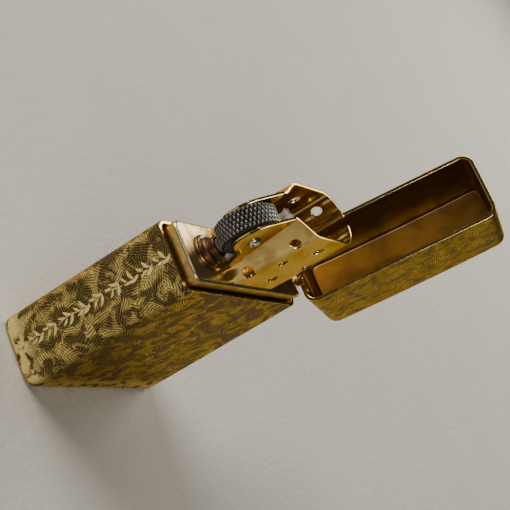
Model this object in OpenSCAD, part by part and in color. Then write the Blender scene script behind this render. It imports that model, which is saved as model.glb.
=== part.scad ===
// Flip-top petrol lighter, drawn with its lid open on its stop.
// Origin: centre of the flat bottom. +Z up, +X towards the hinge, Y across the narrow side.

/* [Case] */
// Width of the case
case_w = 38; // [37.6:0.1:38.6]
// Depth of the case
case_d = 13; // [12.9:0.1:13.6]
// Height of the lower half, up to its rim
case_h = 34.5; // [34:0.1:36]
// Height of the closed lid over the rim, at the middle of its dome
lid_h = 22.4; // [21.8:0.1:24]
// How much lower the lid is at its ends than at its middle
dome_drop = 0.9; // [0.6:0.1:1.2]
// Sheet thickness of the case and the lid
wall = 0.65; // [0.5:0.05:0.7]
// Radius of the upright corners
corner_r = 2.2; // [1.8:0.1:2.6]
// Radius of the bottom and top edges
edge_r = 1.1; // [0.8:0.1:1.4]
// Gap between the two rims when shut
rim_gap = 0.1; // [0.05:0.01:0.2]

/* [Hinge] */
// Distance of the hinge pin outside the case's end wall
hinge_out = 1.86; // [1.7:0.02:2]
// Depth of the hinge pin below the rim
hinge_drop = 0.68; // [0.6:0.02:0.8]
// Outside radius of a knuckle
knuckle_r = 1.2; // [1.1:0.05:1.25]
// Radius of the hinge pin
hinge_pin_r = 0.55; // [0.45:0.05:0.6]
// Number of knuckles, shared by both leaves
knuckles = 5; // [3:2:7]
// Length of one knuckle with its share of the gap
knuckle_pitch = 1.65; // [1.2:0.05:1.7]
// Thickness of the hinge leaves
leaf_t = 0.45; // [0.35:0.05:0.5]
// Length of the leaf's welded plate
leaf_l = 6.5; // [5:0.5:9]
// Angle between the shut lid and the open one
open_angle = 105.66; // [90:0.01:110]

/* [Insert] */
// Width of the insert
insert_w = 35; // [34.6:0.1:35.2]
// Depth of the insert
insert_d = 11.2; // [11:0.1:11.4]
// How far the deck stands over the rim
deck_up = 1.96; // [1.6:0.02:2.2]
// Radius of the insert's upright corners
insert_r = 1.6; // [1.4:0.1:2]
// Radius of the deck's edge
insert_edge_r = 0.5; // [0.4:0.1:0.8]
// Sheet thickness of the insert
insert_t = 0.45; // [0.4:0.05:0.5]

/* [Chimney] */
// Height of the chimney's top over the rim
chimney_up = 18; // [17.5:0.1:18.5]
// Half depth of the chimney over its wide walls
chimney_y = 5.23; // [5.1:0.01:5.3]
// Sheet thickness of the chimney
sheet_t = 0.5; // [0.4:0.05:0.55]
// Radius of the punched air holes
hole_r = 1.1; // [0.9:0.05:1.2]
// Width of the slot down the round end
slot_w = 1.8; // [1.4:0.1:2.2]

/* [Flint wheel] */
// Position of the wheel's axle along X
wheel_x = -10.8; // [-11:0.1:-10.7]
// Height of the wheel's axle over the rim
wheel_up = 10.35; // [10:0.05:10.5]
// Radius of the wheel
wheel_r = 5.25; // [5:0.05:5.25]
// Thickness of the wheel
wheel_t = 3.9; // [3.6:0.1:3.9]
// Half the outside distance over the two ears
ear_y = 2.6; // [2.55:0.01:2.7]
// Radius of the wheel's rivet
rivet_r = 0.7; // [0.6:0.05:0.8]

/* [Cam] */
// Position of the cam's axle along X
cam_x = 14.9; // [14.8:0.1:15]
// Height of the cam's axle over the rim
cam_up = 3.2; // [3.1:0.1:3.3]
// Distance from the axle to the middle of the nose
cam_l = 4.4; // [4:0.1:4.4]
// Thickness of the cam
cam_t = 1.4; // [1:0.1:1.5]

/* [Flint feed] */
// Outside radius of the flint tube
tube_r = 1.9; // [1.8:0.05:2]
// Radius of the flint
flint_r = 1.2; // [1.1:0.05:1.25]
// Length of the flint
flint_l = 4.5; // [3:0.1:5]

/* [Hidden] */
$fn = 64;
ROUND_FINE = 720;

GOLD = [0.80, 0.62, 0.30];
ANTIQUE = [0.48, 0.38, 0.18];
STEEL = [0.62, 0.62, 0.62];
GUNMETAL = [0.18, 0.18, 0.19];
COPPER = [0.55, 0.33, 0.18];
WHITE = [0.93, 0.91, 0.86];

eps = 0.02;
rim = case_h;
hinge_x = case_w / 2 + hinge_out;
hinge_z = rim - hinge_drop;
inner_x = case_w / 2 - wall;
pin_play = 0.04;
knuckle_gap = 0.08;
leaf_len = knuckles * knuckle_pitch;

lid_top = rim + lid_h;
dome_r = (pow(case_w / 2, 2) + pow(dome_drop, 2)) / (2 * dome_drop);

foot_z = wall + 0.05;
deck_z = rim + deck_up;
top_z = rim + chimney_up;
wheel_z = rim + wheel_up;

cam_z = rim + cam_up;
cam_open = 10;
cam_tail = 225;
cam_ear_t = 0.4;
cam_gap = 0.15;
cam_hole_r = 0.55;
cam_pin_r = 0.5;
cam_slot = [cam_x - 2.6, cam_x + 1.9];

spring_w = 3;
spring_t = 0.3;
spring_rivet_r = 0.6;
spring_rivet_z = 17;

flint_top = wheel_z - wheel_r - 0.05;
flint_base = flint_top - flint_l;
plunger_h = 1.2;
plunger_z = flint_base - plunger_h;
screw_z = 1.1;
screw_h = 1.3;
screw_top = 8.5;
bore_r = flint_r + 0.1;
tube_low = screw_z + screw_h + 0.05;
tube_top = deck_z + 2.6;
felt_h = 2.5;

wick_x = -3.4;
wick_r = 1.5;
// Middle line of the wick: straight up through the packing, then leaning a little sideways
WICK = [
    [wick_x, 0, 6], [wick_x, 0, 20], [wick_x, 0, 34], [wick_x, 0, 38],
    [wick_x, 0.05, 41], [wick_x - 0.1, 0.15, 44], [wick_x - 0.2, 0.25, 46.5], [wick_x - 0.25, 0.35, 48.4]
];

// ---- shared shapes ----

// Rectangle with round corners, as squares and true arcs
module rounded_rect(w, d, r) {
    square([w - 2 * r, d], center = true);
    square([w, d - 2 * r], center = true);
    for (x = [-1, 1], y = [-1, 1])
        translate([x * (w / 2 - r), y * (d / 2 - r)]) circle(r);
}

// Outline of a can seen from its side: height h, bottom corners rounded by r
module can_profile(w, h, r) {
    translate([-w / 2, r]) square([w, h - r]);
    translate([-w / 2 + r, 0]) square([w - 2 * r, h]);
    for (x = [-1, 1]) translate([x * (w / 2 - r), r]) circle(r);
}

// Solid can standing on z = 0 with rounded upright corners and bottom edges
module solid_can(w, d, h, r, edge) {
    intersection() {
        linear_extrude(h) rounded_rect(w, d, r);
        rotate([90, 0, 0]) linear_extrude(d + 2, center = true) can_profile(w, h + 1, edge);
        rotate([90, 0, 90]) linear_extrude(w + 2, center = true) can_profile(d, h + 1, edge);
    }
}

// Round bar along Y
module bar_y(r, l) {
    rotate([90, 0, 0]) cylinder(r = r, h = l, center = true);
}

// Swings what it holds from the shut pose to the open one
module opened() {
    translate([hinge_x, 0, hinge_z]) rotate([0, open_angle, 0]) translate([-hinge_x, 0, -hinge_z])
        children();
}

// Tube of radius r swept along points, its rings lying flat
module flat_ring_sweep(path, r, sides) {
    n = len(path);
    points = [for (p = path, k = [0 : sides - 1])
        p + [r * cos(360 * k / sides), r * sin(360 * k / sides), 0]];
    sides_faces = [for (i = [0 : n - 2], k = [0 : sides - 1]) let (m = (k + 1) % sides)
        [i * sides + m, i * sides + k, (i + 1) * sides + k, (i + 1) * sides + m]];
    low = [for (k = [0 : sides - 1]) k];
    high = [for (k = [sides - 1 : -1 : 0]) (n - 1) * sides + k];
    polyhedron(points, concat(sides_faces, [low, high]));
}

// ---- case ----

// Opening in the end wall's rim that the hinge leaf passes through
module leaf_notch(low, high) {
    translate([inner_x - 1, -leaf_len / 2 - 0.1, low]) cube([wall + 2, leaf_len + 0.2, high - low]);
}

module case_body() {
    color(ANTIQUE) difference() {
        solid_can(case_w, case_d, case_h, corner_r, edge_r);
        translate([0, 0, wall])
            linear_extrude(case_h) rounded_rect(case_w - 2 * wall, case_d - 2 * wall, corner_r - wall);
        leaf_notch(hinge_z - knuckle_r - 0.05, rim + 1);
    }
}

// Slab with the lid's domed top, its long edges rounded
module dome(r, half_d, edge) {
    translate([0, 0, lid_top - dome_r]) rotate([90, 0, 0]) rotate([0, 0, 83])
        rotate_extrude(angle = 14, $fn = ROUND_FINE) {
            translate([r - 30, -half_d]) square([30 - edge, 2 * half_d]);
            translate([r - 30, -half_d + edge]) square([30, 2 * (half_d - edge)]);
            for (s = [-1, 1]) translate([r - edge, s * (half_d - edge)]) circle(edge, $fn = 64);
        }
}

// Side view of the lid: the rounding at the ends of its top
module lid_end_profile() {
    end_x = case_w / 2 - edge_r;
    end_z = lid_top - pow(end_x, 2) / (2 * dome_r) - edge_r;
    translate([-case_w / 2, rim]) square([case_w, end_z - rim]);
    translate([-end_x, rim]) square([2 * end_x, lid_h + 1]);
    for (s = [-1, 1]) translate([s * end_x, end_z]) circle(edge_r);
}

module case_lid() {
    color(ANTIQUE) opened() difference() {
        intersection() {
            translate([0, 0, rim + rim_gap]) linear_extrude(lid_h) rounded_rect(case_w, case_d, corner_r);
            dome(dome_r, case_d / 2, edge_r);
            rotate([90, 0, 0]) linear_extrude(case_d + 2, center = true) lid_end_profile();
        }
        intersection() {
            translate([0, 0, rim]) linear_extrude(lid_h)
                rounded_rect(case_w - 2 * wall, case_d - 2 * wall, corner_r - wall);
            dome(dome_r - wall, case_d / 2 + 1, edge_r);
        }
        leaf_notch(rim, hinge_z + knuckle_r + 0.05);
    }
}

// ---- hinge ----

// Middle of knuckle i along Y
function knuckle_y(i) = (i - (knuckles - 1) / 2) * knuckle_pitch;

// Shut hinge leaf. side is -1 for the case's leaf and 1 for the lid's, first is its first knuckle
module hinge_leaf(side, first, bore) {
    run_z = hinge_z + (side > 0 ? knuckle_r - leaf_t : -knuckle_r);
    plate_z = side > 0 ? run_z : run_z + leaf_t - leaf_l;
    plate_x = inner_x - leaf_t;
    span = knuckle_pitch - knuckle_gap;
    difference() {
        union() {
            translate([plate_x, -leaf_len / 2, plate_z]) cube([leaf_t, leaf_len, leaf_l]);
            for (i = [first : 2 : knuckles - 1]) translate([0, knuckle_y(i), 0]) {
                translate([hinge_x, 0, hinge_z]) bar_y(knuckle_r, span);
                translate([plate_x, -span / 2, run_z]) cube([hinge_x - plate_x, span, leaf_t]);
            }
        }
        translate([hinge_x, 0, hinge_z]) bar_y(bore, leaf_len + 1);
    }
}

module hinge_body_leaf() {
    color(GOLD) hinge_leaf(-1, 0, hinge_pin_r);
}

module hinge_lid_leaf() {
    color(GOLD) opened() hinge_leaf(1, 1, hinge_pin_r + pin_play);
}

module hinge_pin() {
    color(STEEL) translate([hinge_x, 0, hinge_z]) bar_y(hinge_pin_r, leaf_len - knuckle_gap);
}

// ---- insert ----

// One of the two deck ears that hold the cam, with its bore
module cam_ear() {
    rotate([90, 0, 0]) linear_extrude(cam_ear_t, center = true) {
        translate([cam_x - 1.5, deck_z - insert_t]) square([3, cam_z - deck_z + insert_t]);
        translate([cam_x, cam_z]) circle(1.5);
    }
}

// Hole through the end wall for the rivet of the cam's spring
module spring_rivet_hole() {
    translate([insert_w / 2, 0, spring_rivet_z]) rotate([0, 90, 0])
        cylinder(r = spring_rivet_r, h = 3, center = true);
}

module insert_shell() {
    h = deck_z - foot_z;
    color(GOLD) difference() {
        union() {
            difference() {
                translate([0, 0, deck_z]) mirror([0, 0, 1])
                    solid_can(insert_w, insert_d, h, insert_r, insert_edge_r);
                translate([0, 0, foot_z - 1]) linear_extrude(h + 1 - insert_t)
                    rounded_rect(insert_w - 2 * insert_t, insert_d - 2 * insert_t, insert_r - insert_t);
            }
            for (s = [-1, 1]) translate([0, s * (cam_t / 2 + cam_gap + cam_ear_t / 2), 0]) cam_ear();
        }
        translate([wheel_x, 0, deck_z - 2]) cylinder(r = tube_r, h = 3);
        translate([wick_x, 0, deck_z - 2]) cylinder(r = wick_r + 0.1, h = 3);
        translate([cam_slot[0], -cam_t / 2 - cam_gap, deck_z - 1])
            cube([cam_slot[1] - cam_slot[0], cam_t + 2 * cam_gap, 2]);
        translate([cam_x, 0, cam_z]) bar_y(cam_pin_r, 4);
        spring_rivet_hole();
    }
}

// ---- chimney ----

front_low = -6.03;
front_high = -3.95;
ear_low = -6.63;
ear_high = -8.7;
round_x = chimney_y + 1.02;

// Outline of one wide wall, x and height over the rim
WIDE_WALL = [
    [front_low, deck_up], [round_x, deck_up], [round_x, chimney_up], [front_high, chimney_up]
];
// Outline of one ear, x and height over the rim
EAR = [
    [ear_low, deck_up], [ear_high, chimney_up], [-9.4, chimney_up], [-13.2, 14.7], [-14.1, 13.5],
    [-14.6, 11.9], [-14.7, 10.1], [-14.4, 9.0], [-13.6, 8.1], [-11.4, 7.0], [-9.2, 6.0], [-8.3, 4.2]
];
HOLE_LOW = 5;
HOLE_MID = 9.8;
HOLE_HIGH = 14.6;

// Corner of the folded panel between wide wall and ear, u running outwards to the ear and v upwards
function panel_corner(u, v) = [
    (front_low + (front_high - front_low) * v) * (1 - u) + (ear_low + (ear_high - ear_low) * v) * u,
    (chimney_y - sheet_t / 2) * (1 - u) + (ear_y - sheet_t / 2) * u,
    deck_z + 0.05 + (top_z - deck_z - 0.1) * v
];

// Flat triangular plate of sheet whose middle plane holds three points
module tri_plate(a, b, c) {
    n = cross(b - a, c - a) / norm(cross(b - a, c - a));
    tilt = acos(n[2]);
    turn = atan2(n[1], n[0]);
    along = [cos(turn) * cos(tilt), sin(turn) * cos(tilt), -sin(tilt)];
    across = [-sin(turn), cos(turn), 0];
    translate(a) rotate([0, tilt, turn]) linear_extrude(sheet_t, center = true)
        polygon([for (p = [a, b, c]) [(p - a) * along, (p - a) * across]]);
}

// The panel is folded from the wall's top to the ear's foot; it reaches a little into the wall and the ear
module folded_panel() {
    reach = 0.04;
    wall_low = panel_corner(-reach, 0);
    wall_high = panel_corner(-reach, 1);
    ear_foot = panel_corner(1 + reach, 0);
    ear_head = panel_corner(1 + reach, 1);
    tri_plate(wall_high, ear_head, ear_foot);
    tri_plate(wall_low, wall_high, ear_foot);
}

// Half of the round end, from the wide wall to the slot
module round_end() {
    translate([round_x, 0, deck_z]) linear_extrude(top_z - deck_z) difference() {
        circle(chimney_y);
        circle(chimney_y - sheet_t);
        translate([-20, -10]) square([20, 20]);
        translate([-10, -10]) square([20, 10 + slot_w / 2]);
    }
}

// The chimney's wall at y > 0
module chimney_half() {
    translate([0, chimney_y, rim]) rotate([90, 0, 0]) linear_extrude(sheet_t) polygon(WIDE_WALL);
    translate([0, ear_y, rim]) rotate([90, 0, 0]) linear_extrude(sheet_t) polygon(EAR);
    folded_panel();
    round_end();
}

// Air hole drilled square to the wall, turned by a degrees about the wall's bend at x
module air_hole(x, z, a) {
    translate([x, 0, rim + z]) rotate([0, 0, a]) rotate([-90, 0, 0]) cylinder(r = hole_r, h = 8);
}

module air_holes() {
    for (z = [HOLE_LOW, HOLE_HIGH]) {
        air_hole(2.1, z, 0);
        air_hole(round_x, z, -40);
        air_hole(-5.4, z, 0);
    }
    for (x = [-2.3, 6.1]) air_hole(x, HOLE_MID, 0);
}

module chimney() {
    color(GOLD) difference() {
        union() {
            chimney_half();
            mirror([0, 1, 0]) chimney_half();
            // tongue across the deck that joins both walls
            translate([-1.2, -chimney_y + 0.1, deck_z]) cube([5, 2 * chimney_y - 0.2, 0.3]);
        }
        air_holes();
        mirror([0, 1, 0]) air_holes();
        translate([wheel_x, 0, wheel_z]) bar_y(rivet_r, 8);
    }
}

// ---- flint wheel ----

module flint_wheel() {
    color(GUNMETAL) translate([wheel_x, 0, wheel_z]) rotate([90, 0, 0]) difference() {
        rotate_extrude() polygon([
            [0, -wheel_t / 2], [wheel_r - 0.4, -wheel_t / 2], [wheel_r, -wheel_t / 2 + 0.3],
            [wheel_r, wheel_t / 2 - 0.3], [wheel_r - 0.4, wheel_t / 2], [0, wheel_t / 2]
        ]);
        cylinder(r = rivet_r + 0.05, h = wheel_t + 1, center = true);
    }
}

// Rivet along Y: shank of radius r over half-length l, with domed heads of radius head_r and height head_h
module rivet_y(r, l, head_r, head_h) {
    ball = (pow(head_r, 2) + pow(head_h, 2)) / (2 * head_h);
    bar_y(r, 2 * l);
    for (s = [-1, 1]) rotate([-90 * s, 0, 0]) translate([0, 0, l]) intersection() {
        cylinder(r = head_r, h = head_h);
        translate([0, 0, head_h - ball]) sphere(ball);
    }
}

module wheel_rivet() {
    color(STEEL) translate([wheel_x, 0, wheel_z]) rivet_y(rivet_r, ear_y, 1.15, 0.5);
}

// ---- cam ----

// Round lobe of the cam at distance l and angle a from its axle
module cam_lobe(l, a, r) {
    translate([l * cos(a), l * sin(a)]) circle(r);
}

// Strip of width w from the axle outwards at angle a
module cam_arm(l, a, w) {
    rotate(a) translate([0, -w / 2]) square([l, w]);
}

module cam() {
    color(STEEL) translate([cam_x, 0, cam_z]) rotate([90, 0, 0]) linear_extrude(cam_t, center = true)
        difference() {
            union() {
                circle(1.4);
                cam_arm(cam_l, cam_open, 1.8);
                cam_lobe(cam_l, cam_open, 0.9);
                cam_arm(2.3, cam_tail, 1.1);
                cam_lobe(2.3, cam_tail, 0.55);
            }
            circle(cam_hole_r);
        }
}

module cam_rivet() {
    color(STEEL) translate([cam_x, 0, cam_z]) rivet_y(cam_pin_r, cam_t / 2 + cam_gap + cam_ear_t, 0.8, 0.3);
}

// Leaf spring standing against the end wall, its tip bent in under the cam's tail
module cam_spring() {
    x1 = insert_w / 2 - insert_t;
    color(STEEL) difference() {
        rotate([90, 0, 0]) linear_extrude(spring_w, center = true) polygon([
            [x1, 14], [x1, 28], [14.1, 34.4], [13.4, 34.4], [13.4, 34.4 - spring_t],
            [13.9, 34.4 - spring_t], [x1 - spring_t, 27.9], [x1 - spring_t, 14]
        ]);
        spring_rivet_hole();
    }
}

module cam_spring_rivet() {
    grip = insert_t + spring_t;
    head_h = 0.3;
    color(STEEL) translate([insert_w / 2 - grip, 0, spring_rivet_z]) rotate([0, 90, 0]) {
        cylinder(r = spring_rivet_r, h = grip);
        for (z = [-head_h, grip]) translate([0, 0, z]) cylinder(r = 1, h = head_h);
    }
}

// ---- flint feed ----

module flint_tube() {
    color(COPPER) translate([wheel_x, 0, 0]) rotate_extrude() polygon([
        [bore_r, tube_low], [tube_r, tube_low], [tube_r, deck_z], [3.3, deck_z], [3.3, deck_z + 0.35],
        [3.0, deck_z + 0.5], [2.5, deck_z + 0.5], [2.5, deck_z + 1.1], [2.2, deck_z + 1.4],
        [tube_r, deck_z + 1.5], [tube_r, tube_top - 0.2], [tube_r - 0.2, tube_top], [bore_r, tube_top]
    ]);
}

module flint() {
    color(GUNMETAL) translate([wheel_x, 0, flint_base]) cylinder(r = flint_r, h = flint_l);
}

module flint_plunger() {
    color(GOLD) translate([wheel_x, 0, plunger_z]) {
        cylinder(r = flint_r, h = plunger_h);
        translate([0, 0, -1.8]) cylinder(r = 0.6, h = 1.8 + eps);
    }
}

module flint_spring() {
    turns = 18;
    steps = 10;
    wire = 0.2;
    coil = flint_r - 0.25;
    low = screw_top + wire;
    high = plunger_z - wire;
    path = [for (i = [0 : turns * steps]) let (a = 360 * i / steps)
        [coil * cos(a), coil * sin(a), low + (high - low) * i / (turns * steps)]];
    color(STEEL) translate([wheel_x, 0, 0]) coil_sweep(path, wire, 6);
}

// Wire of radius r swept along a helix about Z, its rings standing across the wire
module coil_sweep(path, r, sides) {
    n = len(path);
    points = [for (p = path, k = [0 : sides - 1])
        let (out = [p[0], p[1], 0] / norm([p[0], p[1]]), a = 360 * k / sides)
        p + r * (cos(a) * out + [0, 0, sin(a)])];
    walls = [for (i = [0 : n - 2], k = [0 : sides - 1]) let (m = (k + 1) % sides)
        [i * sides + k, i * sides + m, (i + 1) * sides + m, (i + 1) * sides + k]];
    start = [for (k = [sides - 1 : -1 : 0]) k];
    stop = [for (k = [0 : sides - 1]) (n - 1) * sides + k];
    polyhedron(points, concat(walls, [start, stop]));
}

module flint_screw() {
    color(GOLD) translate([wheel_x, 0, screw_z]) difference() {
        union() {
            cylinder(r = 2.6, h = screw_h);
            cylinder(r = bore_r - 0.02, h = screw_top - screw_z);
        }
        translate([-3, -0.35, -1]) cube([6, 0.7, 1.7]);
    }
}

// ---- fuel side ----

module wick() {
    color(WHITE) flat_ring_sweep(WICK, wick_r, 12);
}

module cotton_packing() {
    count = 4;
    low = foot_z + felt_h + 0.6;
    step = (deck_z - insert_t - 0.6 - low) / count;
    color(WHITE) for (i = [0 : count - 1]) translate([3.4, 0, low + i * step]) difference() {
        linear_extrude(step - 0.3) rounded_rect(19.4, 9.8, 3);
        translate([wick_x - 3.4, 0, -1]) cylinder(r = wick_r + 0.1, h = step + 1);
    }
}

module felt_pad() {
    color(WHITE) translate([0, 0, foot_z + 0.2]) difference() {
        linear_extrude(felt_h)
            rounded_rect(insert_w - 2 * insert_t - 0.2, insert_d - 2 * insert_t - 0.2, 1);
        translate([wheel_x, 0, -1]) cylinder(r = 2.8, h = felt_h + 2);
    }
}

case_body();
case_lid();
hinge_body_leaf();
hinge_lid_leaf();
hinge_pin();
insert_shell();
chimney();
flint_wheel();
wheel_rivet();
cam();
cam_rivet();
cam_spring();
cam_spring_rivet();
flint_tube();
flint();
flint_plunger();
flint_spring();
flint_screw();
wick();
cotton_packing();
felt_pad();
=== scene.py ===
# %% [markdown]
# # Flip-top petrol lighter
# The lighter stands open: an etched brass case with its lid hinged back, and in it the insert with
# its punched chimney, flint wheel, wick and cam. The CAD model gives every place and every moving
# body. This file gives the sheet metal its thickness and rounded edges, and every piece its finish.

# %% Load the frame
import math

import bmesh
import bpy
import numpy as np
from mathutils import Matrix, Vector, noise
from mathutils.geometry import delaunay_2d_cdt


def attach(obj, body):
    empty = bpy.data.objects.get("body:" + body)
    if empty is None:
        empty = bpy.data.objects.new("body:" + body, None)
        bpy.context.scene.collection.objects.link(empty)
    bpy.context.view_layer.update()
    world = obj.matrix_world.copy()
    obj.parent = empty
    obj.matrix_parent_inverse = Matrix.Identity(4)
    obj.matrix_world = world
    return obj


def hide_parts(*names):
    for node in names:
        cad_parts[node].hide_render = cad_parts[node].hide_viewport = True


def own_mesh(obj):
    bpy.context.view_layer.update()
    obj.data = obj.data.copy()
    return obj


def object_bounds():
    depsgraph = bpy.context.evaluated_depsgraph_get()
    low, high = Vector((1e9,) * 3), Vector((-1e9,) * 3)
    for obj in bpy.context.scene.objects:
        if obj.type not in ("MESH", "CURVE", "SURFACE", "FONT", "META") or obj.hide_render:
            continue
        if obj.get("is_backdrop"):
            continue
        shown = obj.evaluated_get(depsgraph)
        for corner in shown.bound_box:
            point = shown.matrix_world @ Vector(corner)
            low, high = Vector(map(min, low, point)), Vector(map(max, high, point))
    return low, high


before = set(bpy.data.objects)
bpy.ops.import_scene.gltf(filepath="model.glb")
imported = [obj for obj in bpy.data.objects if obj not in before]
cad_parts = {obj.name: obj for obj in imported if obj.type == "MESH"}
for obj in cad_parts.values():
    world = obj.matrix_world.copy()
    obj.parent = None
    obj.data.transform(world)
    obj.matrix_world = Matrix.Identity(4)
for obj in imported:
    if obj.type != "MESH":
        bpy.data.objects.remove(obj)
cad_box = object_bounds()
MM = 0.001


# %% Objects
def linked(name, data):
    """A new object of this data, in the scene."""
    made = bpy.data.objects.new(name, data)
    bpy.context.collection.objects.link(made)
    return made


def add_mesh(name, points, faces, *finishes):
    """A mesh from points and faces, with its finishes as its materials."""
    mesh = bpy.data.meshes.new(name)
    mesh.from_pydata([tuple(p) for p in points], [], [tuple(f) for f in faces])
    mesh.validate()
    for finish in finishes:
        mesh.materials.append(finish)
    return linked(name, mesh)


def stands_for(made, node, body):
    """Hides the CAD node that a visible piece replaces and puts the piece on the body it rides."""
    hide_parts(node)
    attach(made, body)


# %% [markdown]
# ## Camera and studio
# The camera looks down on the wheel's end of the lighter, rolled over as if the lighter lay on its
# side. A camera is easiest to keep readable as a direction in angles plus a roll about the line of
# sight. Floor and lights are plain, and the room around them is dim: polished metal has little
# colour of its own, so the dark parts of what it mirrors are what give it its shape.

# %% Camera
view_turn = math.radians(19.465)
view_drop = math.radians(22.522)
view_roll = math.radians(58.74)
camera_at = Vector((-194.77, -69.52, 124.98)) * MM

ahead = Vector((
    math.cos(view_drop) * math.cos(view_turn),
    math.cos(view_drop) * math.sin(view_turn),
    -math.sin(view_drop),
))
level_right = ahead.cross(Vector((0, 0, 1))).normalized()
level_up = level_right.cross(ahead)
right = level_right * math.cos(view_roll) + level_up * math.sin(view_roll)
up = right.cross(ahead)

camera_data = bpy.data.cameras.new("camera")
camera_data.lens = 94.106
camera_data.sensor_width = 36
camera = linked("camera", camera_data)
camera.matrix_world = Matrix.Translation(camera_at) @ Matrix((right, up, -ahead)).transposed().to_4x4()
bpy.context.scene.camera = camera
print("camera looks along", tuple(round(c, 3) for c in ahead))

# %% Wires and trees
class Wire:
    """A node's output that can stand in a Python expression; each operation adds its Math node."""

    def __init__(self, tree, socket):
        self.tree = tree
        self.socket = socket

    def step(self, low, high):
        """0 below low, 1 above high, and smooth between."""
        return self.tree.node(
            "ShaderNodeMapRange", {"interpolation_type": "SMOOTHSTEP"},
            {"Value": self, "From Min": low, "From Max": high},
        )


def operator(operation, swapped=False):
    """A method of Wire that adds one Math node; swapped puts the other value first."""
    def method(wire, *others):
        values = (*others, wire) if swapped else (wire, *others)
        return wire.tree.math(operation, *values)
    return method


for method_name, operation in {
    "__add__": "ADD", "__sub__": "SUBTRACT", "__mul__": "MULTIPLY", "__truediv__": "DIVIDE",
    "__pow__": "POWER", "sin": "SINE", "cos": "COSINE", "abs": "ABSOLUTE", "floor": "FLOOR",
    "max": "MAXIMUM",
}.items():
    setattr(Wire, method_name, operator(operation))
Wire.__radd__ = operator("ADD", swapped=True)
Wire.__rsub__ = operator("SUBTRACT", swapped=True)


class Tree:
    """A node tree, for a material or for geometry, filled by node()."""

    def __init__(self, node_tree):
        self.nodes = node_tree.nodes
        self.links = node_tree.links

    def node(self, kind, settings, values, out=0):
        made = self.nodes.new(kind)
        for name, setting in settings.items():
            setattr(made, name, setting)
        for name, value in values.items():
            if isinstance(value, Wire):
                self.links.new(value.socket, made.inputs[name])
            else:
                made.inputs[name].default_value = value
        return Wire(self, made.outputs[out]) if made.outputs else None

    def math(self, operation, *values):
        return self.node("ShaderNodeMath", {"operation": operation}, dict(enumerate(values)))

    def vector(self, operation, *values):
        return self.node("ShaderNodeVectorMath", {"operation": operation}, dict(enumerate(values)))

    def scaled(self, vector, factor):
        return self.node("ShaderNodeVectorMath", {"operation": "SCALE"}, {0: vector, "Scale": factor})

    def split(self, vector):
        return [self.node("ShaderNodeSeparateXYZ", {}, {0: vector}, axis) for axis in "XYZ"]

    def join(self, x, y, z):
        return self.node("ShaderNodeCombineXYZ", {}, {"X": x, "Y": y, "Z": z})

    def mix(self, factor, a, b):
        """Colour a where factor is 0 and colour b where it is 1."""
        return self.node("ShaderNodeMix", {"data_type": "RGBA"}, {0: factor, 6: a, 7: b}, 2)

    def noise(self, place, scale, detail=3.0, distortion=0.0):
        return self.node("ShaderNodeTexNoise", {}, {
            "Vector": place, "Scale": scale, "Detail": detail, "Distortion": distortion,
        }, "Fac")

    def streaks(self, place, stretch, scale):
        """Noise squeezed by its own factor along each axis, so that it runs in lines."""
        return self.noise(self.vector("MULTIPLY", place, stretch), scale)

    def random(self, value):
        """A number from 0 to 1 that is different for each value."""
        return self.node("ShaderNodeTexWhiteNoise", {"noise_dimensions": "1D"}, {"W": value}, "Value")


# %% Materials are made by one function
def material(name, paint, **constants):
    """paint(tree) returns the sockets that vary over the surface; constants stay on the shader."""
    made = bpy.data.materials.new(name)
    made.use_nodes = True
    made.node_tree.nodes.clear()
    tree = Tree(made.node_tree)
    fixed = {key.replace("_", " ").title(): value for key, value in constants.items()}
    shader = tree.node("ShaderNodeBsdfPrincipled", {}, {**fixed, **paint(tree)})
    tree.node("ShaderNodeOutputMaterial", {}, {"Surface": shader})
    return made


def rgb(red, green, blue):
    return (red, green, blue, 1.0)


def object_mm(tree):
    """Object coordinates in millimetres."""
    return tree.scaled(tree.node("ShaderNodeTexCoord", {}, {}, "Object"), 1000.0)


def bump(tree, height, depth_mm):
    return tree.node("ShaderNodeBump", {}, {"Height": height, "Distance": depth_mm * MM}, "Normal")


# %% Floor
def floor_paint(tree):
    grain = tree.noise(object_mm(tree), 0.05, 4)
    return {
        "Base Color": tree.mix(grain, rgb(0.47, 0.44, 0.38), rgb(0.52, 0.49, 0.43)),
        "Normal": bump(tree, tree.noise(object_mm(tree), 0.6, 4), 0.3),
    }


FLOOR_HALF = 3.0
floor = add_mesh(
    "floor",
    [(x * FLOOR_HALF, y * FLOOR_HALF, 0) for x, y in ((-1, -1), (1, -1), (1, 1), (-1, 1))],
    [(0, 1, 2, 3)],
    material("floor_paper", floor_paint, roughness=0.8),
)
floor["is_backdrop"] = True


# %% Lights
LIGHTS_FACE = Vector((0, 0, 0.04))


def soft_light(name, at, size, watts, colour):
    """A square soft box that faces the lighter."""
    data = bpy.data.lights.new(name, "AREA")
    data.size = size
    data.energy = watts
    data.color = colour
    made = linked(name, data)
    made.location = at
    made.rotation_euler = (LIGHTS_FACE - at).to_track_quat("-Z", "Y").to_euler()


soft_light("key", Vector((-0.15, 0.55, 0.45)), 0.5, 6.5, (1.0, 0.96, 0.90))
soft_light("far_end", Vector((0.60, 0.15, 0.35)), 0.35, 3.0, (1.0, 0.97, 0.92))
soft_light("fill", Vector((-0.50, -0.35, 0.35)), 0.3, 2.2, (1.0, 0.96, 0.90))

world = bpy.data.worlds.new("studio")
world.use_nodes = True
room = world.node_tree.nodes["Background"].inputs
room["Color"].default_value = rgb(0.20, 0.185, 0.16)
room["Strength"].default_value = 0.25
bpy.context.scene.world = world
print("studio is set")

# %% [markdown]
# ## Brass
# One metal has several finishes. The chimney is polished, with tarnish that clouds its colour a
# little and hairlines too fine to see one by one. The cans are left brown inside. Outside they are
# darkened all over and then cut back, so their dark hollows and bright cuts lie side by side. All
# are metallic, and the shader then takes their colour from reflections, as metal does.

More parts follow.
